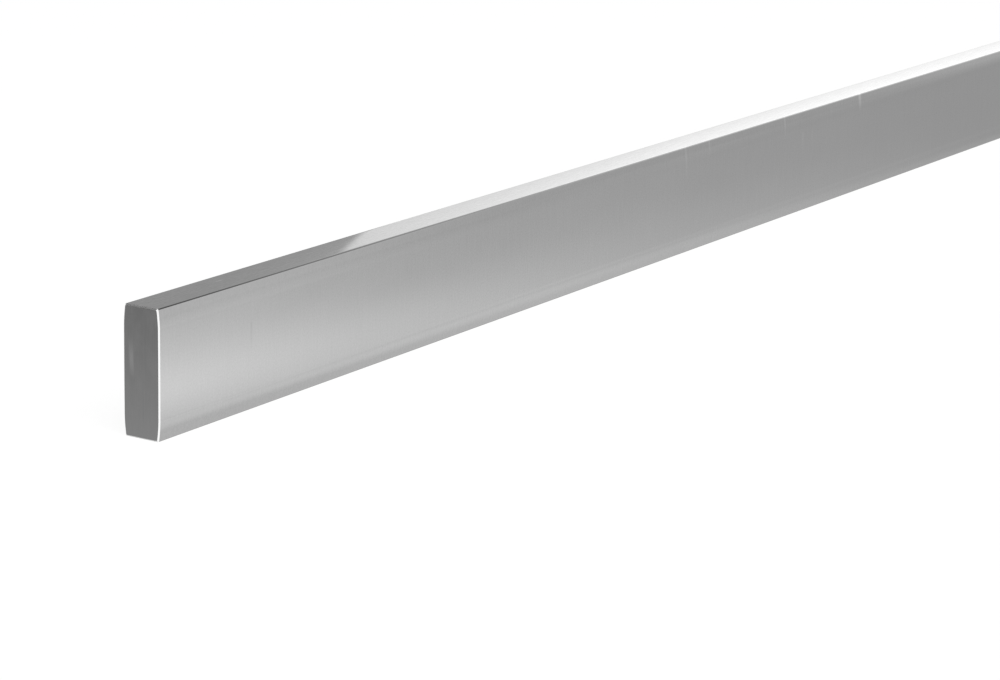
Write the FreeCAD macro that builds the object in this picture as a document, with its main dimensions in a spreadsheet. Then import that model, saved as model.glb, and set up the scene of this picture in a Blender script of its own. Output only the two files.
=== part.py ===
# A length of drawn and polished metal flat bar, set on its narrow face.
#
# The bar is one solid piece. X runs along it, Y through its thickness and Z up its broad faces, and
# the origin is in the middle of the narrow face that it stands on. Each broad face is flat for most
# of its height. As it comes to a narrow face it turns inwards in a shallow arc and then leans in at a
# small angle, where the polishing wheel has run over the edge. All sizes are in millimetres.

import FreeCAD, Part

import math
import os

import Sketcher

# The driving dimensions, with what each one is
DIMENSIONS = {
    "bar_length": (500.0, "cut length of the bar"),
    "bar_height": (30.0, "distance between the two narrow faces, which is the bar's nominal width"),
    "bar_thickness": (10.0, "distance between the two broad faces"),
    "ease_height": (5.0, "height over which a broad face eases inwards to a narrow face"),
    "ease_radius": (30.0, "radius of the arc in which a broad face turns inwards"),
    "ease_angle": (7.0, "angle in degrees at which it leans in from that arc to the corner"),
    "corner_radius": (0.3, "rounding of the four long corners"),
    "end_break": (0.3, "leg of the small chamfer that takes the saw burr off each end"),
}

# Places in a sketch: the two ends of an element, and the sketch's own axes
START, END = 1, 2
ACROSS_AXIS, UPRIGHT_AXIS = -1, -2

# How near two positions are when they count as the same
SAME_PLACE = 1e-6


def fill_sheet(doc):
    """The spreadsheet that holds the driving dimensions, one to a row."""
    sheet = doc.addObject("Spreadsheet::Sheet", "dimensions")
    for row, (name, (value, meaning)) in enumerate(DIMENSIONS.items(), start=1):
        sheet.set(f"A{row}", meaning)
        sheet.set(f"B{row}", str(value))
        sheet.setAlias(f"B{row}", name)
    doc.recompute()
    return sheet


def arc(across, up, radius, first_angle, last_angle):
    """An arc of a circle in the sketch, anticlockwise from one angle to the other."""
    middle = FreeCAD.Vector(across, up, 0)
    circle = Part.Circle(middle, FreeCAD.Vector(0, 0, 1), radius)
    return Part.ArcOfCircle(circle, first_angle, last_angle)


def line(across_1, up_1, across_2, up_2):
    """A straight line in the sketch."""
    first = FreeCAD.Vector(across_1, up_1, 0)
    last = FreeCAD.Vector(across_2, up_2, 0)
    return Part.LineSegment(first, last)


def draw_section(sketch, sheet):
    """The section's outline, anticlockwise from the narrow face that the bar stands on."""
    height = sheet.bar_height
    half_thickness = sheet.bar_thickness / 2
    ease_height, ease_radius = sheet.ease_height, sheet.ease_radius
    lean = math.radians(sheet.ease_angle)
    corner = sheet.corner_radius

    # The ease arc ends where it has turned by the lean
    ease_middle = half_thickness - ease_radius
    turned_across = ease_middle + ease_radius * math.cos(lean)
    turned_up = ease_height - ease_radius * math.sin(lean)

    # The leaning line runs on from there until it touches the corner arc
    touch_up = corner * (1 - math.sin(lean))
    touch_across = turned_across - (turned_up - touch_up) * math.tan(lean)
    corner_across = touch_across - corner * math.cos(lean)
    quarter, half = math.pi / 2, math.pi

    outline = {
        "foot": line(-corner_across, 0, corner_across, 0),
        "back_low_corner": arc(corner_across, corner, corner, -quarter, -lean),
        "back_low_lean": line(touch_across, touch_up, turned_across, turned_up),
        "back_low_ease": arc(ease_middle, ease_height, ease_radius, -lean, 0),
        "back_flat": line(half_thickness, ease_height, half_thickness, height - ease_height),
        "back_high_ease": arc(ease_middle, height - ease_height, ease_radius, 0, lean),
        "back_high_lean": line(turned_across, height - turned_up, touch_across, height - touch_up),
        "back_high_corner": arc(corner_across, height - corner, corner, lean, quarter),
        "top": line(corner_across, height, -corner_across, height),
        "front_high_corner": arc(-corner_across, height - corner, corner, quarter, half - lean),
        "front_high_lean": line(-touch_across, height - touch_up, -turned_across, height - turned_up),
        "front_high_ease": arc(-ease_middle, height - ease_height, ease_radius, half - lean, half),
        "front_flat": line(-half_thickness, height - ease_height, -half_thickness, ease_height),
        "front_low_ease": arc(-ease_middle, ease_height, ease_radius, half, half + lean),
        "front_low_lean": line(-turned_across, turned_up, -touch_across, touch_up),
        "front_low_corner": arc(-corner_across, corner, corner, half + lean, half + quarter),
    }
    return {name: sketch.addGeometry(shape, False) for name, shape in outline.items()}


def bind(sketch, name, formula, *constraint):
    """Adds a named size to the sketch and ties it to the spreadsheet."""
    index = sketch.addConstraint(Sketcher.Constraint(*constraint))
    sketch.renameConstraint(index, name)
    sketch.setExpression(f"Constraints.{name}", formula)


def constrain_section(sketch, part):
    """Holds the outline by tangency and symmetry, and its sizes by the spreadsheet."""
    around = list(part.values())
    for this, following in zip(around, around[1:] + around[:1]):
        sketch.addConstraint(Sketcher.Constraint("Tangent", this, END, following, START))

    sketch.addConstraint(Sketcher.Constraint("Horizontal", part["foot"]))
    sketch.addConstraint(Sketcher.Constraint("Horizontal", part["top"]))
    sketch.addConstraint(Sketcher.Constraint("Vertical", part["back_flat"]))
    sketch.addConstraint(Sketcher.Constraint("PointOnObject", part["foot"], START, ACROSS_AXIS))
    for back_end, front_end in ((START, END), (END, START)):
        sketch.addConstraint(
            Sketcher.Constraint(
                "Symmetric", part["back_flat"], back_end, part["front_flat"], front_end, UPRIGHT_AXIS
            )
        )
    for kind in ("ease", "corner"):
        first = part[f"back_low_{kind}"]
        for place in ("back_high", "front_high", "front_low"):
            sketch.addConstraint(Sketcher.Constraint("Equal", first, part[f"{place}_{kind}"]))

    # A front line is parallel to the back one that is diagonally across from it
    sketch.addConstraint(Sketcher.Constraint("Parallel", part["back_low_lean"], part["front_high_lean"]))
    sketch.addConstraint(Sketcher.Constraint("Parallel", part["back_high_lean"], part["front_low_lean"]))

    size = {name: value for name, (value, _) in DIMENSIONS.items()}
    upright, lean = math.pi / 2, math.radians(size["ease_angle"])
    bind(
        sketch, "low_lean", "90 deg - dimensions.ease_angle * 1 deg",
        "Angle", part["back_low_lean"], upright - lean,
    )
    bind(
        sketch, "high_lean", "90 deg + dimensions.ease_angle * 1 deg",
        "Angle", part["back_high_lean"], upright + lean,
    )
    bind(
        sketch, "ease_radius", "dimensions.ease_radius",
        "Radius", part["back_low_ease"], size["ease_radius"],
    )
    bind(
        sketch, "corner_radius", "dimensions.corner_radius",
        "Radius", part["back_low_corner"], size["corner_radius"],
    )
    bind(
        sketch, "bar_thickness", "dimensions.bar_thickness",
        "DistanceX", part["front_flat"], END, part["back_flat"], START, size["bar_thickness"],
    )
    bind(
        sketch, "low_ease_height", "dimensions.ease_height",
        "DistanceY", part["foot"], START, part["back_flat"], START, size["ease_height"],
    )
    bind(
        sketch, "high_ease_height", "dimensions.ease_height",
        "DistanceY", part["back_flat"], END, part["top"], START, size["ease_height"],
    )
    bind(
        sketch, "bar_height", "dimensions.bar_height",
        "DistanceY", part["foot"], START, part["top"], END, size["bar_height"],
    )


def end_edges(shape, length):
    """The names of the edges that lie wholly in one of the two cut ends."""
    names = []
    for number, edge in enumerate(shape.Edges, start=1):
        box = edge.BoundBox
        lies_across = box.XLength < SAME_PLACE
        at_an_end = abs(abs(box.XMin) - length / 2) < SAME_PLACE
        if lies_across and at_an_end:
            names.append(f"Edge{number}")
    return names


def make_flat_bar(doc, sheet):
    """The bar: its section drawn out to length, with the burr taken off both ends."""
    body = doc.addObject("PartDesign::Body", "flat_bar")
    body.Label = "flat_bar"
    cross_plane = next(f for f in body.Origin.OriginFeatures if f.Role == "YZ_Plane")

    section = body.newObject("Sketcher::SketchObject", "section")
    section.AttachmentSupport = [(cross_plane, "")]
    section.MapMode = "FlatFace"
    part = draw_section(section, sheet)
    constrain_section(section, part)
    doc.recompute()

    drawn = body.newObject("PartDesign::Pad", "drawn_length")
    drawn.Profile = section
    drawn.SideType = "Symmetric"
    drawn.setExpression("Length", "dimensions.bar_length")
    doc.recompute()

    broken = body.newObject("PartDesign::Chamfer", "end_breaks")
    broken.Base = (drawn, end_edges(drawn.Shape, sheet.bar_length))
    broken.setExpression("Size", "dimensions.end_break")
    body.Tip = broken
    doc.recompute()
    return body


def check(doc, pieces):
    """Stops the script if anything in the document failed or a piece is not one sound solid."""
    for item in doc.Objects:
        if "Invalid" in item.State or "Error" in item.State:
            raise RuntimeError(f"{item.Label} did not compute: {item.State}")
    for piece in pieces:
        shape = piece.Shape
        if shape.isNull() or not shape.isValid() or len(shape.Solids) != 1:
            raise RuntimeError(f"{piece.Label} is not one valid solid")


def main():
    doc = FreeCAD.newDocument("metal_flat_bar")
    sheet = fill_sheet(doc)
    pieces = [make_flat_bar(doc, sheet)]
    check(doc, pieces)

    os.makedirs("parts", exist_ok=True)
    for piece in pieces:
        piece.Shape.exportStep(f"parts/{piece.Label}.step")
        box = piece.Shape.BoundBox
        print(f"{piece.Label}: {box.XLength:.3f} x {box.YLength:.3f} x {box.ZLength:.3f} mm,")
        print(f"  from z {box.ZMin:.3f}, volume {piece.Shape.Volume:.1f} mm3, {len(piece.Shape.Faces)} faces")


main()
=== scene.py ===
import math

import bpy
from mathutils import Matrix, Vector


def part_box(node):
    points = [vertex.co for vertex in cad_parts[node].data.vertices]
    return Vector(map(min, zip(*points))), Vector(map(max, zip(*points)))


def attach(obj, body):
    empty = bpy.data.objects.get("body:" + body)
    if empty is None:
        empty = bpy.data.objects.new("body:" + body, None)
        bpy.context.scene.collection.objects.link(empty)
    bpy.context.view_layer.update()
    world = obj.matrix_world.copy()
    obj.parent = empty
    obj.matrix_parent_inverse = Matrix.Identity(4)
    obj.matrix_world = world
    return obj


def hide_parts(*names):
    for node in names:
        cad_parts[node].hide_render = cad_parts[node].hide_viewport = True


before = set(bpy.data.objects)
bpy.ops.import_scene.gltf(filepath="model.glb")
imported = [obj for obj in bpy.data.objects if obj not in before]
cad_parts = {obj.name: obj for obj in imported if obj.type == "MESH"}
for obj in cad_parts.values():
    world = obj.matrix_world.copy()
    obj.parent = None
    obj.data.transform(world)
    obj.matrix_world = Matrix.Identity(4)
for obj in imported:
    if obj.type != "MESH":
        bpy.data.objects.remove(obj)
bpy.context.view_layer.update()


# The flat bar. The real piece is one length of drawn flat steel with polished faces. Each broad face
# turns and leans inwards towards the narrow faces, the long corners are slightly rounded, and the sawn
# ends are ground smooth with their sharp edge filed off all round.

MM = 0.001

low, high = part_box("flat_bar")
BAR_LENGTH = high.x - low.x
BAR_THICKNESS = high.y - low.y
BAR_HEIGHT = high.z - low.z

EASE_HEIGHT = 5.0 * MM
EASE_RADIUS = 30.0 * MM
EASE_ANGLE = math.radians(7)
CORNER_RADIUS = 0.3 * MM
END_BREAK = 0.3 * MM
NARROW_FACE_CROWN = 0.02 * MM
BROAD_FACE_CROWN = 0.02 * MM

# How upright a normal is on a narrow face, and how finely the surface is divided
NARROW_FACING = 0.999
EASE_STEPS = 24
CORNER_STEPS = 10
FACE_STEP = 0.25 * MM
LENGTH_STEP = 10.0 * MM
SHARP_ANGLE = math.radians(25)
SAME_PLACE = 0.001 * MM


def wire(tree, value, socket):
    """Links an output socket to an input socket, or writes a plain value into it."""
    if isinstance(value, bpy.types.NodeSocket):
        tree.links.new(value, socket)
    else:
        socket.default_value = value


def add(tree, kind, settings=None, **inputs):
    """Adds a node with its settings. Inputs go by name, with _ for a space, or by place, as in _0."""
    node = tree.nodes.new(kind)
    for name, value in (settings or {}).items():
        setattr(node, name, value)
    for name, value in inputs.items():
        key = int(name[1:]) if name[1:].isdigit() else name.replace("_", " ")
        wire(tree, value, node.inputs[key])
    return node


def calc(tree, operation, *values):
    """The result of one Math node."""
    node = tree.nodes.new("ShaderNodeMath")
    node.operation = operation
    for value, socket in zip(values, node.inputs):
        wire(tree, value, socket)
    return node.outputs[0]


def vector(tree, x=0.0, y=0.0, z=0.0):
    """The result of one Combine XYZ node."""
    return add(tree, "ShaderNodeCombineXYZ", X=x, Y=y, Z=z).outputs[0]


def section_outline(tree, size):
    """The bar's section as a closed curve around its middle, across on X and up on Y."""
    quarter_turn = math.pi / 2
    half_height = calc(tree, "MULTIPLY", size["Height"], 0.5)
    half_thickness = calc(tree, "MULTIPLY", size["Thickness"], 0.5)
    ease, lean, corner = size["Ease radius"], size["Ease angle"], size["Corner radius"]

    # The leaning line crosses the broad face in the middle of the ease arc's turn
    ease_start = calc(tree, "SUBTRACT", half_height, size["Ease height"])
    half_lean = calc(tree, "TANGENT", calc(tree, "MULTIPLY", lean, 0.5))
    broad_up = calc(tree, "MULTIPLY_ADD", ease, half_lean, ease_start)

    # It crosses the narrow face a little outside the corner arc
    rise = calc(tree, "SUBTRACT", half_height, broad_up)
    lean_in = calc(tree, "MULTIPLY", rise, calc(tree, "TANGENT", lean))
    narrow_across = calc(tree, "SUBTRACT", half_thickness, lean_in)
    rest_angle = calc(tree, "SUBTRACT", quarter_turn, lean)
    half_rest = calc(tree, "TANGENT", calc(tree, "MULTIPLY", rest_angle, 0.5))
    corner_across = calc(tree, "SUBTRACT", narrow_across, calc(tree, "MULTIPLY", corner, half_rest))

    # Two crossings in one quarter, mirrored to all four and joined in order around the middle
    quarter = add(tree, "GeometryNodeCurvePrimitiveLine",
                  Start=vector(tree, half_thickness, broad_up),
                  End=vector(tree, narrow_across, half_height)).outputs["Curve"]
    for mirror in ((-1, 1, 1), (1, -1, 1)):
        other = add(tree, "GeometryNodeTransform", Geometry=quarter, Scale=mirror)
        both = add(tree, "GeometryNodeJoinGeometry", Geometry=quarter)
        wire(tree, other.outputs[0], both.inputs[0])
        quarter = both.outputs[0]
    points = add(tree, "GeometryNodeCurveToPoints", {"mode": "EVALUATED"}, Curve=quarter)
    place = add(tree, "ShaderNodeSeparateXYZ", Vector=tree.nodes.new("GeometryNodeInputPosition").outputs[0])
    turn = calc(tree, "ARCTAN2", place.outputs["Y"], place.outputs["X"])
    ring = add(tree, "GeometryNodePointsToCurves", Points=points.outputs["Points"], Weight=turn)
    ring = add(tree, "GeometryNodeSetSplineCyclic", Geometry=ring.outputs[0], Cyclic=True)

    # Each crossing is rounded to its own radius, so the arcs run into each other
    across = calc(tree, "ABSOLUTE", place.outputs["X"])
    halfway = calc(tree, "MULTIPLY", calc(tree, "ADD", half_thickness, narrow_across), 0.5)
    on_broad = calc(tree, "GREATER_THAN", across, halfway)
    radius = add(tree, "ShaderNodeMix", Factor=on_broad, A=corner, B=ease).outputs["Result"]
    steps = add(tree, "ShaderNodeMix", Factor=on_broad, A=float(CORNER_STEPS), B=float(EASE_STEPS))
    ring = add(tree, "GeometryNodeFilletCurve", {"mode": "POLY"}, Curve=ring.outputs[0],
               Count=steps.outputs["Result"], Radius=radius, Limit_Radius=False)

    # The flats get points too, so that their shading stays flat right up to the arcs
    here = tree.nodes.new("GeometryNodeInputPosition").outputs[0]
    index = tree.nodes.new("GeometryNodeInputIndex").outputs[0]
    count = add(tree, "GeometryNodeAttributeDomainSize", {"component": "CURVE"}, Geometry=ring.outputs[0])
    next_index = calc(tree, "MODULO", calc(tree, "ADD", index, 1.0), count.outputs["Point Count"])
    there = add(tree, "GeometryNodeFieldAtIndex", {"data_type": "FLOAT_VECTOR"}, Value=here, Index=next_index)
    gap = add(tree, "ShaderNodeVectorMath", {"operation": "DISTANCE"}, _0=here, _1=there.outputs[0])
    cuts = calc(tree, "FLOOR", calc(tree, "DIVIDE", gap.outputs["Value"], FACE_STEP))
    ring = add(tree, "GeometryNodeSubdivideCurve", Curve=ring.outputs[0], Cuts=cuts)

    # Drawing and polishing leave every face a touch higher along its middle than at its edges
    off_narrow = calc(tree, "MINIMUM", calc(tree, "DIVIDE", across, corner_across), 1.0)
    narrow_side = calc(tree, "DIVIDE", place.outputs["Y"], half_height)
    narrow_fall = calc(tree, "MULTIPLY", calc(tree, "MULTIPLY", off_narrow, off_narrow), narrow_side)
    lower = calc(tree, "MULTIPLY", calc(tree, "MULTIPLY", narrow_fall, size["Narrow crown"]), -1.0)
    off_broad = calc(tree, "DIVIDE", place.outputs["Y"], ease_start)
    broad_side = calc(tree, "DIVIDE", place.outputs["X"], half_thickness)
    broad_fall = calc(tree, "MULTIPLY", calc(tree, "MULTIPLY", off_broad, off_broad), broad_side)
    inwards = calc(tree, "MULTIPLY", calc(tree, "MULTIPLY", broad_fall, size["Broad crown"]), -1.0)
    crowned = vector(tree, inwards, lower)
    return add(tree, "GeometryNodeSetPosition", Geometry=ring.outputs[0], Offset=crowned).outputs[0]


def flat_bar_tree(polished_finish, narrow_finish, filed_finish, cut_finish):
    """The tree that draws the section out to length, files both ends and gives each face its finish."""
    tree = bpy.data.node_groups.new("drawn_flat_bar", "GeometryNodeTree")
    tree.interface.new_socket("Mesh", in_out="OUTPUT", socket_type="NodeSocketGeometry")
    tree.interface.new_socket("Mesh", in_out="INPUT", socket_type="NodeSocketGeometry")
    for name in ("Length", "Height", "Thickness", "Ease height", "Ease radius", "Ease angle",
                 "Corner radius", "Narrow crown", "Broad crown", "End break"):
        tree.interface.new_socket(name, in_out="INPUT", socket_type="NodeSocketFloat")
    size = tree.nodes.new("NodeGroupInput").outputs
    result = tree.nodes.new("NodeGroupOutput").inputs[0]

    outline = section_outline(tree, size)
    drawn_end = calc(tree, "SUBTRACT", calc(tree, "MULTIPLY", size["Length"], 0.5), size["End break"])
    line = add(tree, "GeometryNodeCurvePrimitiveLine",
               Start=vector(tree, calc(tree, "MULTIPLY", drawn_end, -1.0)), End=vector(tree, drawn_end))
    stations = calc(tree, "ROUND", calc(tree, "DIVIDE", size["Length"], LENGTH_STEP))
    line = add(tree, "GeometryNodeResampleCurve", Curve=line.outputs[0], Count=stations)
    line = add(tree, "GeometryNodeSetCurveNormal", {"mode": "Z_UP"}, Curve=line.outputs[0])
    drawn = add(tree, "GeometryNodeCurveToMesh", Curve=line.outputs[0], Profile_Curve=outline, Fill_Caps=True)
    drawn = add(tree, "GeometryNodeMergeByDistance", Geometry=drawn.outputs[0], Distance=SAME_PLACE)

    # Both ends go out by the break, and their faces shrink by it all round
    facing = add(tree, "ShaderNodeSeparateXYZ", Vector=tree.nodes.new("GeometryNodeInputNormal").outputs[0])
    is_end = calc(tree, "GREATER_THAN", calc(tree, "ABSOLUTE", facing.outputs["X"]), 0.5)
    ends = add(tree, "GeometryNodeExtrudeMesh", Mesh=drawn.outputs[0], Selection=is_end,
               Offset_Scale=size["End break"])
    shrink = {}
    for name in ("Thickness", "Height"):
        share = calc(tree, "DIVIDE", calc(tree, "MULTIPLY", size["End break"], 2.0), size[name])
        shrink[name] = calc(tree, "SUBTRACT", 1.0, share)
    factors = vector(tree, 1.0, shrink["Thickness"], shrink["Height"])
    here = tree.nodes.new("GeometryNodeInputPosition").outputs[0]
    shrunk = add(tree, "ShaderNodeVectorMath", {"operation": "MULTIPLY"}, _0=here, _1=factors)
    ends_in = add(tree, "GeometryNodeSetPosition", Geometry=ends.outputs["Mesh"],
                  Selection=ends.outputs["Top"], Position=shrunk.outputs[0])

    # It stands on its narrow face, with crisp edges only where the ends were filed
    middle = vector(tree, z=calc(tree, "MULTIPLY", size["Height"], 0.5))
    standing = add(tree, "GeometryNodeTransform", Geometry=ends_in.outputs[0], Translation=middle)
    smooth = add(tree, "GeometryNodeSetShadeSmooth", Geometry=standing.outputs[0], Shade_Smooth=True)
    bend = tree.nodes.new("GeometryNodeInputMeshEdgeAngle").outputs["Unsigned Angle"]
    crisp = add(tree, "GeometryNodeSetShadeSmooth", {"domain": "EDGE"}, Geometry=smooth.outputs[0],
                Selection=calc(tree, "GREATER_THAN", bend, SHARP_ANGLE), Shade_Smooth=False)

    mesh = add(tree, "GeometryNodeRealizeInstances", Geometry=crisp.outputs[0]).outputs[0]
    is_narrow = calc(tree, "GREATER_THAN", calc(tree, "ABSOLUTE", facing.outputs["Z"]), NARROW_FACING)
    everywhere = True
    for finish, faces in (
        (polished_finish, everywhere),
        (narrow_finish, is_narrow),
        (filed_finish, ends.outputs["Side"]),
        (cut_finish, ends.outputs["Top"]),
    ):
        finished = add(tree, "GeometryNodeSetMaterial", Geometry=mesh, Selection=faces, Material=finish)
        mesh = finished.outputs[0]
    wire(tree, mesh, result)
    return tree


def shader_group(name, inputs, outputs):
    """An empty shader node group, with its input sockets, its own input node and its output node."""
    tree = bpy.data.node_groups.new(name, "ShaderNodeTree")
    for title, kind, value in inputs:
        socket = tree.interface.new_socket(title, in_out="INPUT", socket_type=f"NodeSocket{kind}")
        if value is not None:
            socket.default_value = value
    for title, kind in outputs:
        tree.interface.new_socket(title, in_out="OUTPUT", socket_type=f"NodeSocket{kind}")
    given = tree.nodes.new("NodeGroupInput").outputs
    result = tree.nodes.new("NodeGroupOutput").inputs
    return tree, given, result


def use_group(tree, group, **inputs):
    """Places a group in a material with its own values."""
    node = tree.nodes.new("ShaderNodeGroup")
    node.node_tree = group
    for name, value in inputs.items():
        wire(tree, value, node.inputs[name.replace("_", " ")])
    return node.outputs


def blend_value(tree, factor, first, second):
    """A value between two others."""
    return add(tree, "ShaderNodeMix", Factor=factor, A=first, B=second).outputs["Result"]


def map_value(tree, value, from_low, from_high, to_low=0.0, to_high=1.0, kind="LINEAR"):
    """A value carried from one range to another, and held at its ends."""
    settings = {"interpolation_type": kind}
    node = add(tree, "ShaderNodeMapRange", settings, _0=value,
               _1=from_low, _2=from_high, _3=to_low, _4=to_high)
    return node.outputs[0]


# Tool lines: the fine parallel lines that a die, a belt or a file leaves, here as a value around 0
tool_lines, given, result = shader_group(
    "tool_lines",
    [("Place", "Vector", None), ("Spacing", "Vector", None), ("Breakup", "Float", 2.0)],
    [("Lines", "Float")],
)
stretched = add(tool_lines, "ShaderNodeVectorMath", {"operation": "DIVIDE"},
                _0=given["Place"], _1=given["Spacing"])
noise = add(tool_lines, "ShaderNodeTexNoise", Vector=stretched.outputs[0], Scale=1.0,
            Detail=given["Breakup"], Roughness=0.6)
wire(tool_lines, calc(tool_lines, "SUBTRACT", noise.outputs["Fac"], 0.5), result["Lines"])


# Handling: soft cloudy patches left by wiping and gripping, as a value from 0 to 1
handling, given, result = shader_group(
    "handling",
    [("Place", "Vector", None), ("Patch size", "Vector", None)],
    [("Cloud", "Float")],
)
stretched = add(handling, "ShaderNodeVectorMath", {"operation": "DIVIDE"},
                _0=given["Place"], _1=given["Patch size"])
noise = add(handling, "ShaderNodeTexNoise", Vector=stretched.outputs[0], Scale=1.0,
            Detail=3.0, Roughness=0.55)
wire(handling, map_value(handling, noise.outputs["Fac"], 0.35, 0.65, kind="SMOOTHSTEP"), result["Cloud"])


# A rub mark: one streak where something slid down a face, which raises or lowers the grey as painted sheen.
# It builds up over its lead and fades below
rub_and_painted_sheen, given, result = shader_group(
    "rub_and_painted_sheen",
    [
        ("Across", "Float", 0.0), ("Up", "Float", 0.0), ("Middle", "Float", 0.0), ("Top", "Float", 0.0),
        ("Lead", "Float", 1 * MM), ("Length", "Float", 5 * MM), ("Half width", "Float", 0.5 * MM),
        ("Slant", "Float", 0.0),
    ],
    [("Mark", "Float")],
)
below = calc(rub_and_painted_sheen, "SUBTRACT", given["Top"], given["Up"])
middle = calc(rub_and_painted_sheen, "MULTIPLY_ADD", below, given["Slant"], given["Middle"])
aside = calc(rub_and_painted_sheen, "ABSOLUTE", calc(rub_and_painted_sheen, "SUBTRACT", given["Across"], middle))
core = calc(rub_and_painted_sheen, "MULTIPLY", given["Half width"], 0.2)
in_width = map_value(rub_and_painted_sheen, aside, core, given["Half width"], 1.0, 0.0, "SMOOTHSTEP")
lead_start = calc(rub_and_painted_sheen, "MULTIPLY", given["Lead"], -1.0)
started = map_value(rub_and_painted_sheen, below, lead_start, 0.0, kind="SMOOTHSTEP")
faded = map_value(rub_and_painted_sheen, below, 0.0, given["Length"], 1.0, 0.0, "SMOOTHSTEP")
in_length = calc(rub_and_painted_sheen, "MULTIPLY", started, faded)
wire(rub_and_painted_sheen, calc(rub_and_painted_sheen, "MULTIPLY", in_width, in_length), result["Mark"])


def metal(name):
    """An empty metal: its tree, its shader and the surface place that its patterns follow."""
    finish = bpy.data.materials.new(name)
    finish.use_nodes = True
    tree = finish.node_tree
    shader = tree.nodes["Principled BSDF"]
    shader.inputs["Metallic"].default_value = 1.0
    place = tree.nodes.new("ShaderNodeTexCoord").outputs["Object"]
    return finish, tree, shader, place


def grey(tree, level):
    """A grey colour from a value."""
    return add(tree, "ShaderNodeCombineColor", Red=level, Green=level, Blue=level).outputs[0]


def add_rubs_as_painted_sheen(tree, tone, side, across, up, marks):
    """The tone with rub marks on it, painted into the grey as lighter or darker sheen, each on the low (-1)
    or the high (1) side of the given axis.
    """
    for mark in marks:
        streak = use_group(tree, rub_and_painted_sheen, Across=across, Up=up, Middle=mark["middle"] * MM,
                           Top=mark["top"] * MM, Lead=mark["lead"] * MM, Length=mark["length"] * MM,
                           Half_width=mark["half_width"] * MM, Slant=mark.get("slant", 0.0))["Mark"]
        here = calc(tree, "GREATER_THAN", calc(tree, "MULTIPLY", side, mark["side"]), OFF_MIDDLE)
        tone = calc(tree, "MULTIPLY_ADD", calc(tree, "MULTIPLY", streak, here), mark["strength"], tone)
    return tone


# The steel's grey, and how far off the bar's middle a face has to be to count as its low or high side
STEEL_GREY = 0.6
OFF_MIDDLE = 4 * MM

# Polished broad faces: close to a mirror, with the faint crosswise lines of the wheel and a few rub marks, in
# millimetres along the bar and up from the floor. The rubs are real, but their lighter or darker look is
# painted sheen in the grey. The front ones (side -1) are as in the photo
broad_marks = [
    dict(side=-1, middle=-216.8, top=20, lead=1.5, length=8, half_width=0.6, strength=-0.035),
    dict(side=-1, middle=-17.4, top=30, lead=1, length=12, half_width=0.8, slant=0.07, strength=0.055),
    dict(side=-1, middle=-3.8, top=30, lead=1, length=5.5, half_width=0.8, strength=0.06),
    dict(side=-1, middle=41.5, top=30, lead=1, length=8, half_width=0.8, strength=0.07),
    dict(side=-1, middle=53, top=23, lead=2, length=6, half_width=1.0, strength=0.03),
    dict(side=-1, middle=59, top=23, lead=2, length=5, half_width=0.9, strength=0.025),
    dict(side=-1, middle=90.4, top=30, lead=1, length=6, half_width=1.2, strength=0.19),
    dict(side=1, middle=-151, top=30, lead=1, length=8, half_width=0.8, slant=0.05, strength=0.06),
    dict(side=1, middle=22, top=14, lead=3, length=6, half_width=0.8, slant=-0.08, strength=0.05),
    dict(side=1, middle=176, top=30, lead=1, length=5, half_width=0.9, strength=0.12),
]
WHEEL_LINE_TONE = 0.035
SPECK_TONE = 0.09
CLOUD_TONE = 0.008
POLISHED_ROUGHNESS = 0.045
CLOUD_ROUGHNESS = 0.015
WHEEL_LINE_ROUGHNESS = 0.01
polished_finish, tree, shader, place = metal("polished_broad_face")
axis = add(tree, "ShaderNodeSeparateXYZ", Vector=place).outputs
wheel_lines = use_group(tree, tool_lines, Place=place, Spacing=(0.6 * MM, 9 * MM, 6 * MM))["Lines"]
specks = use_group(tree, tool_lines, Place=place, Spacing=(0.5 * MM, 0.5 * MM, 0.5 * MM))["Lines"]
clouds = use_group(tree, handling, Place=place, Patch_size=(40 * MM, 12 * MM, 12 * MM))["Cloud"]
tone = calc(tree, "MULTIPLY_ADD", wheel_lines, WHEEL_LINE_TONE, STEEL_GREY)
tone = calc(tree, "MULTIPLY_ADD", specks, SPECK_TONE, tone)
tone = calc(tree, "MULTIPLY_ADD", clouds, CLOUD_TONE, tone)
tone = add_rubs_as_painted_sheen(tree, tone, axis["Y"], axis["X"], axis["Z"], broad_marks)
wire(tree, grey(tree, tone), shader.inputs["Base Color"])
gloss = calc(tree, "MULTIPLY_ADD", clouds, CLOUD_ROUGHNESS, POLISHED_ROUGHNESS)
gloss = calc(tree, "MULTIPLY_ADD", wheel_lines, WHEEL_LINE_ROUGHNESS, gloss)
wire(tree, gloss, shader.inputs["Roughness"])

# Narrow faces: as bright, but with the streaks that the die drew out along the bar. Each has one small rub,
# painted as lighter grey sheen, with its middle in millimetres across the bar and its top along it
narrow_marks = [
    dict(side=1, middle=1.1, top=-220.6, lead=1.5, length=2.5, half_width=0.5, strength=0.16),
    dict(side=-1, middle=-0.8, top=64, lead=2, length=3, half_width=0.5, strength=0.12),
]
STREAK_TONE = 0.38
DRAWN_SPECK_TONE = 0.24
DRAWN_ROUGHNESS = 0.03
DEEP_STREAK = 0.15
DEEP_STREAK_ROUGHNESS = 0.05
narrow_finish, tree, shader, place = metal("drawn_narrow_face")
axis = add(tree, "ShaderNodeSeparateXYZ", Vector=place).outputs
from_middle = calc(tree, "SUBTRACT", axis["Z"], BAR_HEIGHT / 2)
streaks = use_group(tree, tool_lines, Place=place, Spacing=(7 * MM, 0.3 * MM, 0.3 * MM),
                    Breakup=3.0)["Lines"]
specks = use_group(tree, tool_lines, Place=place, Spacing=(1.2 * MM, 0.5 * MM, 0.5 * MM))["Lines"]
clouds = use_group(tree, handling, Place=place, Patch_size=(25 * MM, 3 * MM, 3 * MM))["Cloud"]
tone = calc(tree, "MULTIPLY_ADD", streaks, STREAK_TONE, STEEL_GREY)
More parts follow.
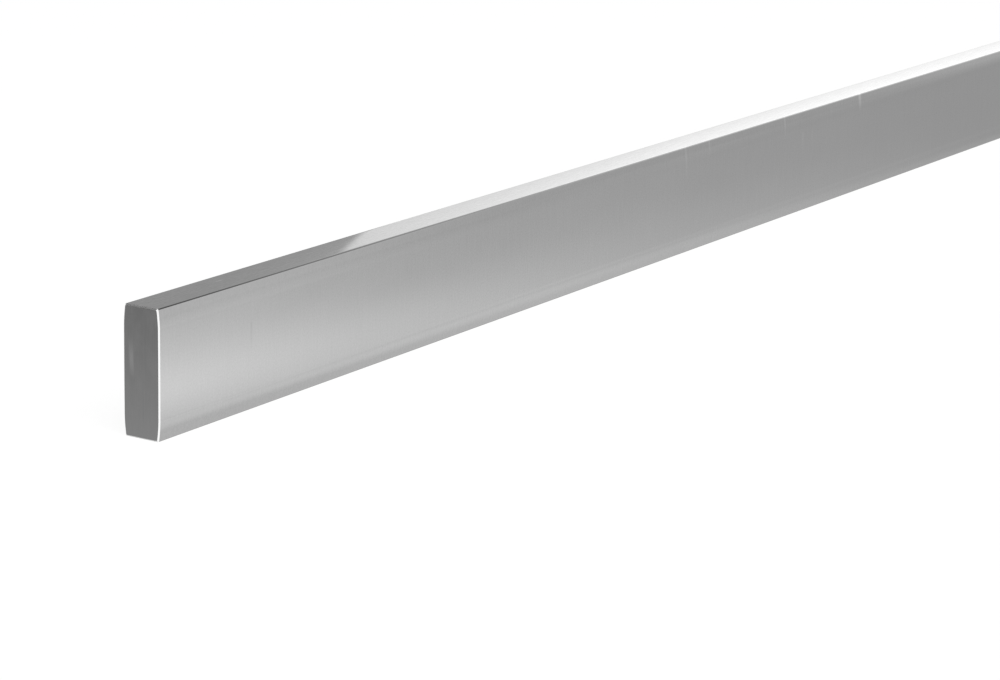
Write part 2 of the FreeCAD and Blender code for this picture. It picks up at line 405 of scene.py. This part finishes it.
tone = calc(tree, "MULTIPLY_ADD", specks, DRAWN_SPECK_TONE, tone)
tone = add_rubs_as_painted_sheen(tree, tone, from_middle, axis["Y"], axis["X"], narrow_marks)
wire(tree, grey(tree, tone), shader.inputs["Base Color"])
drag = map_value(tree, streaks, 0.0, DEEP_STREAK)
gloss = calc(tree, "MULTIPLY_ADD", clouds, CLOUD_ROUGHNESS, DRAWN_ROUGHNESS)
gloss = calc(tree, "MULTIPLY_ADD", drag, DEEP_STREAK_ROUGHNESS, gloss)
wire(tree, gloss, shader.inputs["Roughness"])

# Filed edge: rougher than the rest, with short file lines. Its near-white grey, brighter than steel's own, is
# a painted highlight that makes the edge show as a bright line
FILED_EDGE_HIGHLIGHT_GREY = 0.93
FILE_LINE_TONE = 0.03
FILED_ROUGHNESS = 0.28
FILE_LINE_ROUGHNESS = 0.04
filed_finish, tree, shader, place = metal("filed_steel_edge")
file_lines = use_group(tree, tool_lines, Place=place, Spacing=(0.6 * MM, 0.6 * MM, 0.6 * MM))["Lines"]
tone = calc(tree, "MULTIPLY_ADD", file_lines, FILE_LINE_TONE, FILED_EDGE_HIGHLIGHT_GREY)
wire(tree, grey(tree, tone), shader.inputs["Base Color"])
gloss = calc(tree, "MULTIPLY_ADD", file_lines, FILE_LINE_ROUGHNESS, FILED_ROUGHNESS)
wire(tree, gloss, shader.inputs["Roughness"])

# Cut ends: ground after sawing, so their fine lines run up and down. Each has one rub mark, painted as
# lighter grey sheen, in millimetres across the bar and up from the floor, the left one (side -1) as in the
# photo
cut_marks = [
    dict(side=-1, middle=2.72, top=18, lead=5, length=5, half_width=0.95, slant=-0.06, strength=0.16),
    dict(side=1, middle=-1.6, top=15, lead=3, length=6, half_width=0.7, slant=0.05, strength=0.12),
]
GROUND_STEEL_GREY = 0.57
BELT_LINE_TONE = 0.1
GROUND_CLOUD_TONE = 0.02
GROUND_ROUGHNESS = 0.1
GROUND_CLOUD_ROUGHNESS = 0.05
cut_finish, tree, shader, place = metal("ground_steel_end")
axis = add(tree, "ShaderNodeSeparateXYZ", Vector=place).outputs
belt_lines = use_group(tree, tool_lines, Place=place, Spacing=(5 * MM, 0.18 * MM, 14 * MM))["Lines"]
clouds = use_group(tree, handling, Place=place, Patch_size=(5 * MM, 3 * MM, 5 * MM))["Cloud"]
tone = calc(tree, "MULTIPLY_ADD", belt_lines, BELT_LINE_TONE, GROUND_STEEL_GREY)
tone = calc(tree, "MULTIPLY_ADD", clouds, GROUND_CLOUD_TONE, tone)
tone = add_rubs_as_painted_sheen(tree, tone, axis["X"], axis["Y"], axis["Z"], cut_marks)
wire(tree, grey(tree, tone), shader.inputs["Base Color"])
gloss = calc(tree, "MULTIPLY_ADD", clouds, GROUND_CLOUD_ROUGHNESS, GROUND_ROUGHNESS)
wire(tree, gloss, shader.inputs["Roughness"])

bar_sizes = {
    "Length": BAR_LENGTH,
    "Height": BAR_HEIGHT,
    "Thickness": BAR_THICKNESS,
    "Ease height": EASE_HEIGHT,
    "Ease radius": EASE_RADIUS,
    "Ease angle": EASE_ANGLE,
    "Corner radius": CORNER_RADIUS,
    "Narrow crown": NARROW_FACE_CROWN,
    "Broad crown": BROAD_FACE_CROWN,
    "End break": END_BREAK,
}
bar_tree = flat_bar_tree(polished_finish, narrow_finish, filed_finish, cut_finish)
raw_bar = bpy.data.objects.new("raw_bar", bpy.data.meshes.new("raw_bar"))
bpy.context.scene.collection.objects.link(raw_bar)
drawing = raw_bar.modifiers.new("drawing", "NODES")
drawing.node_group = bar_tree
for item in bar_tree.interface.items_tree:
    if item.in_out == "INPUT" and item.name in bar_sizes:
        drawing[item.identifier] = bar_sizes[item.name]
evaluated = raw_bar.evaluated_get(bpy.context.evaluated_depsgraph_get())
bar_mesh = bpy.data.meshes.new_from_object(evaluated)
bar_mesh.name = "polished_flat_bar"
bpy.data.objects.remove(raw_bar)

flat_bar = bpy.data.objects.new("polished_flat_bar", bar_mesh)
bpy.context.scene.collection.objects.link(flat_bar)
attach(flat_bar, "root")
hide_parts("flat_bar")


# The floor. It is a plain pale table top, lit to white for the camera, that keeps the bar's soft shadow.
# The bar's faces mirror the studio that the next section gives, and not the table's edge.

FLOOR_HALF_SIDE = 20.0
FLOOR_PALE = 0.8
FLOOR_SEEN_PALE = 0.35
FLOOR_SEEN_GLOW = 0.83

floor_mesh = bpy.data.meshes.new("floor")
corners = [(x * FLOOR_HALF_SIDE, y * FLOOR_HALF_SIDE, 0.0) for x, y in ((-1, -1), (1, -1), (1, 1), (-1, 1))]
floor_mesh.from_pydata(corners, [], [(0, 1, 2, 3)])
floor = bpy.data.objects.new("floor", floor_mesh)
bpy.context.scene.collection.objects.link(floor)
floor.visible_glossy = False

floor_finish = bpy.data.materials.new("pale_floor")
floor_finish.use_nodes = True
tree = floor_finish.node_tree
tree.nodes.remove(tree.nodes["Principled BSDF"])
to_camera = tree.nodes.new("ShaderNodeLightPath").outputs["Is Camera Ray"]
pale = add(tree, "ShaderNodeBsdfDiffuse", Color=(FLOOR_PALE,) * 3 + (1,))
faint = add(tree, "ShaderNodeBsdfDiffuse", Color=(FLOOR_SEEN_PALE,) * 3 + (1,))
glow = add(tree, "ShaderNodeEmission", Color=(1, 1, 1, 1), Strength=FLOOR_SEEN_GLOW)
lit = add(tree, "ShaderNodeAddShader", _0=faint.outputs[0], _1=glow.outputs[0])
seen = add(tree, "ShaderNodeMixShader", _0=to_camera, _1=pale.outputs[0], _2=lit.outputs[0])
wire(tree, seen.outputs[0], tree.nodes["Material Output"].inputs["Surface"])
floor_mesh.materials.append(floor_finish)


# The studio light. A white room with soft cards and darker flags around the bar, in degrees of azimuth and
# elevation, and one soft lamp overhead to the left of the camera. The metal mirrors the white background
# wherever no card or flag stands, and the low cards stand in for the table in its reflections.


def inside_edge(tree, distance, half_size, softness):
    """1 inside the edge, 0 outside, and a smooth change over the softness."""
    past_edge = calc(tree, "SUBTRACT", calc(tree, "ABSOLUTE", distance), half_size)
    half_soft = calc(tree, "MULTIPLY", softness, 0.5)
    first = calc(tree, "MULTIPLY", half_soft, -1.0)
    return map_value(tree, past_edge, first, half_soft, 1.0, 0.0, "SMOOTHSTEP")


studio_card, given, result = shader_group(
    "studio_card",
    [
        ("Light", "Float", 0.5), ("Azimuth", "Float", 0.0), ("Elevation", "Float", 0.0),
        ("Level", "Float", 1.0), ("Behind", "Float", 0.0),
        ("Towards", "Float", 0.0), ("Height", "Float", 0.0), ("Tilt", "Float", 0.0),
        ("Half width", "Float", 10.0), ("Half height", "Float", 10.0),
        ("Side softness", "Float", 5.0), ("Top softness", "Float", 5.0),
    ],
    [("Light", "Float")],
)
turned = calc(studio_card, "SUBTRACT", given["Azimuth"], given["Towards"])
sideways = calc(studio_card, "WRAP", turned, -180.0, 180.0)
above = calc(studio_card, "SUBTRACT", given["Elevation"], given["Height"])
upright = calc(studio_card, "SUBTRACT", above, calc(studio_card, "MULTIPLY", sideways, given["Tilt"]))
across = inside_edge(studio_card, sideways, given["Half width"], given["Side softness"])
along = inside_edge(studio_card, upright, given["Half height"], given["Top softness"])
covered = calc(studio_card, "MULTIPLY", across, along)
shown = calc(studio_card, "MULTIPLY_ADD", given["Light"], given["Behind"], given["Level"])
wire(studio_card, blend_value(studio_card, covered, given["Light"], shown), result["Light"])

studio = bpy.data.worlds.new("studio")
bpy.context.scene.world = studio
studio.use_nodes = True
tree = studio.node_tree
direction = tree.nodes.new("ShaderNodeTexCoord").outputs["Generated"]
way = add(tree, "ShaderNodeSeparateXYZ", Vector=direction).outputs
azimuth = calc(tree, "DEGREES", calc(tree, "ARCTAN2", way["Y"], way["X"]))
elevation = calc(tree, "DEGREES", calc(tree, "ARCSINE", way["Z"]))
rays = tree.nodes.new("ShaderNodeLightPath").outputs


def hang(light, name, level, towards, height, half_size, softness, tilt=0.0, behind=0.0):
    """Paints a card over the light, with the share of the light behind it that still shows."""
    hung = add(tree, "ShaderNodeGroup", {"node_tree": studio_card, "label": name},
               Light=light, Azimuth=azimuth, Elevation=elevation,
               Level=level, Behind=behind, Towards=towards, Height=height, Tilt=tilt,
               Half_width=half_size[0], Half_height=half_size[1],
               Side_softness=softness[0], Top_softness=softness[1])
    return hung.outputs["Light"]


# Reflections see the white background, and other rays a grey room, so that the white adds no light
ROOM_GREY = 0.45
WHITE = 1.0
mirrored = calc(tree, "MAXIMUM", rays["Is Glossy Ray"], rays["Is Transmission Ray"])
light = blend_value(tree, mirrored, ROOM_GREY, WHITE)

# Grey flags, the table all round the bar and the wall to the left of the camera. The cards' places and
# levels, here and below, were fitted to what the bar reflects in the photo and then rounded
light = hang(light, "grey_front", ROOM_GREY, -25, -15, half_size=(45, 35), softness=(10, 10))
light = hang(light, "grey_end", ROOM_GREY, 145, -12, half_size=(45, 35), softness=(10, 10))
light = hang(light, "front_table", 1.15, -115, -25, half_size=(25, 25), softness=(30, 30))
light = hang(light, "back_table", 0.6, 90, -30, half_size=(40, 30), softness=(30, 20))
light = hang(light, "left_wall", 0.84, -75, -10, half_size=(41.4, 30), softness=(12.5, 20))
light = hang(light, "near_table", 2.83, -50, -40.8, half_size=(17.5, 12), softness=(24, 15), tilt=0.535)
light = hang(light, "low_table", 0.68, -45, -37.8, half_size=(40, 20), softness=(30, 10))

# The lit edge of the table with the dark line in it, and the foot of the wall
light = hang(light, "table_strip", 0.59, -43, -17.1, half_size=(4.6, 1.1), softness=(36, 1.9),
             tilt=0.26, behind=1)
light = hang(light, "table_shade", -0.87, -42.3, -17.6, half_size=(2.3, 0.41), softness=(17.6, 1.2),
             tilt=0.3, behind=1)
light = hang(light, "wall_band", 0.032, -33.7, -8.9, half_size=(8, 3.8), softness=(4, 1.7), behind=1)
light = hang(light, "wall_shade", -0.285, -38.4, -6.8, half_size=(6.1, 3), softness=(6.3, 27), behind=1)

# The dark room above and behind, and the flag that the near end mirrors
light = hang(light, "dark_room", 0.02, 0, 30, half_size=(42, 27), softness=(5, 5))
light = hang(light, "dark_back", 0.08, 112, 48, half_size=(22, 16), softness=(10, 10))
light = hang(light, "end_shade", 0.155, 140, -11, half_size=(12, 4), softness=(10, 8))

# The window's glow fades with the angle from the bar's own line, and the table cuts it off below
GLOW_LEVEL = 0.9
GLOW_RADIUS = 35.3
GLOW_SOFTNESS = 18.0
GLOW_FOOT = 4.0
GLOW_FOOT_SOFTNESS = 3.0
off_middle = calc(tree, "DEGREES", calc(tree, "ARCCOSINE", way["X"]))
above_foot = map_value(tree, elevation, GLOW_FOOT - GLOW_FOOT_SOFTNESS, GLOW_FOOT + GLOW_FOOT_SOFTNESS,
                       kind="SMOOTHSTEP")
glow = calc(tree, "MULTIPLY", inside_edge(tree, off_middle, GLOW_RADIUS, GLOW_SOFTNESS), above_foot)
light = blend_value(tree, glow, light, GLOW_LEVEL)

# The window and the dark wall beside it
light = hang(light, "dark_side", 0.38, 48, 14, half_size=(16, 14), softness=(6, 10))
light = hang(light, "window_side", 0.84, 26.75, 6.7, half_size=(8.15, 7), softness=(0.3, 1))
light = hang(light, "window_middle", 0.95, 19.5, 12.7, half_size=(11.5, 4.5), softness=(14.5, 8.7),
             tilt=0.3, behind=1)
light = hang(light, "window_sill", 0.46, -20, -0.5, half_size=(5, 3), softness=(13, 9), behind=1)

seen = blend_value(tree, rays["Is Camera Ray"], light, WHITE)
wire(tree, grey(tree, seen), tree.nodes["Background"].inputs["Color"])

# The soft lamp, a round one whose energy gives its face an even radiance
KEY_DISTANCE = 2.2
KEY_SIDE = 1.4
KEY_TOWARDS = math.radians(-130)
KEY_UP = math.radians(55)
KEY_RADIANCE = 1.5
key = bpy.data.lights.new("soft_key", "AREA")
key.shape = "DISK"
key.size = KEY_SIDE
key.energy = KEY_RADIANCE * math.pi * math.pi * (KEY_SIDE / 2) ** 2
key_lamp = bpy.data.objects.new("soft_key", key)
bpy.context.scene.collection.objects.link(key_lamp)
key_level = Vector((math.cos(KEY_TOWARDS), math.sin(KEY_TOWARDS), 0.0))
key_way = key_level * math.cos(KEY_UP) + Vector((0.0, 0.0, math.sin(KEY_UP)))
key_lamp.location = key_way * KEY_DISTANCE
key_lamp.rotation_euler = key_way.to_track_quat("Z", "Y").to_euler()
key_lamp.visible_camera = False


# The camera. It stands to the left of the bar and looks slightly down on it, as in the photograph, with its
# place in millimetres from the middle of the bar's foot and its turn measured from the bar's length. All
# seven values were fitted to the bar's edges and cut end in the photo.

CAMERA_PLACE = Vector((-778.74, -424.46, 197.95)) * MM
CAMERA_YAW = math.radians(32.16)
CAMERA_PITCH = math.radians(-14.46)
CAMERA_ROLL = math.radians(1.29)
CAMERA_LENS = 115.43

lens = bpy.data.cameras.new("camera")
lens.lens = CAMERA_LENS
lens.sensor_width = 36.0
lens.clip_start = 0.01
camera = bpy.data.objects.new("camera", lens)
bpy.context.scene.collection.objects.link(camera)
level_ahead = Vector((math.cos(CAMERA_YAW), math.sin(CAMERA_YAW), 0.0))
ahead = level_ahead * math.cos(CAMERA_PITCH) + Vector((0.0, 0.0, math.sin(CAMERA_PITCH)))
level_right = Vector((math.sin(CAMERA_YAW), -math.cos(CAMERA_YAW), 0.0))
level_up = level_right.cross(ahead)
right = math.cos(CAMERA_ROLL) * level_right + math.sin(CAMERA_ROLL) * level_up
up = right.cross(ahead)
turn = Matrix((right, up, -ahead)).transposed().to_4x4()
camera.matrix_world = Matrix.Translation(CAMERA_PLACE) @ turn
bpy.context.scene.camera = camera

bpy.context.scene.view_settings.view_transform = "Standard"
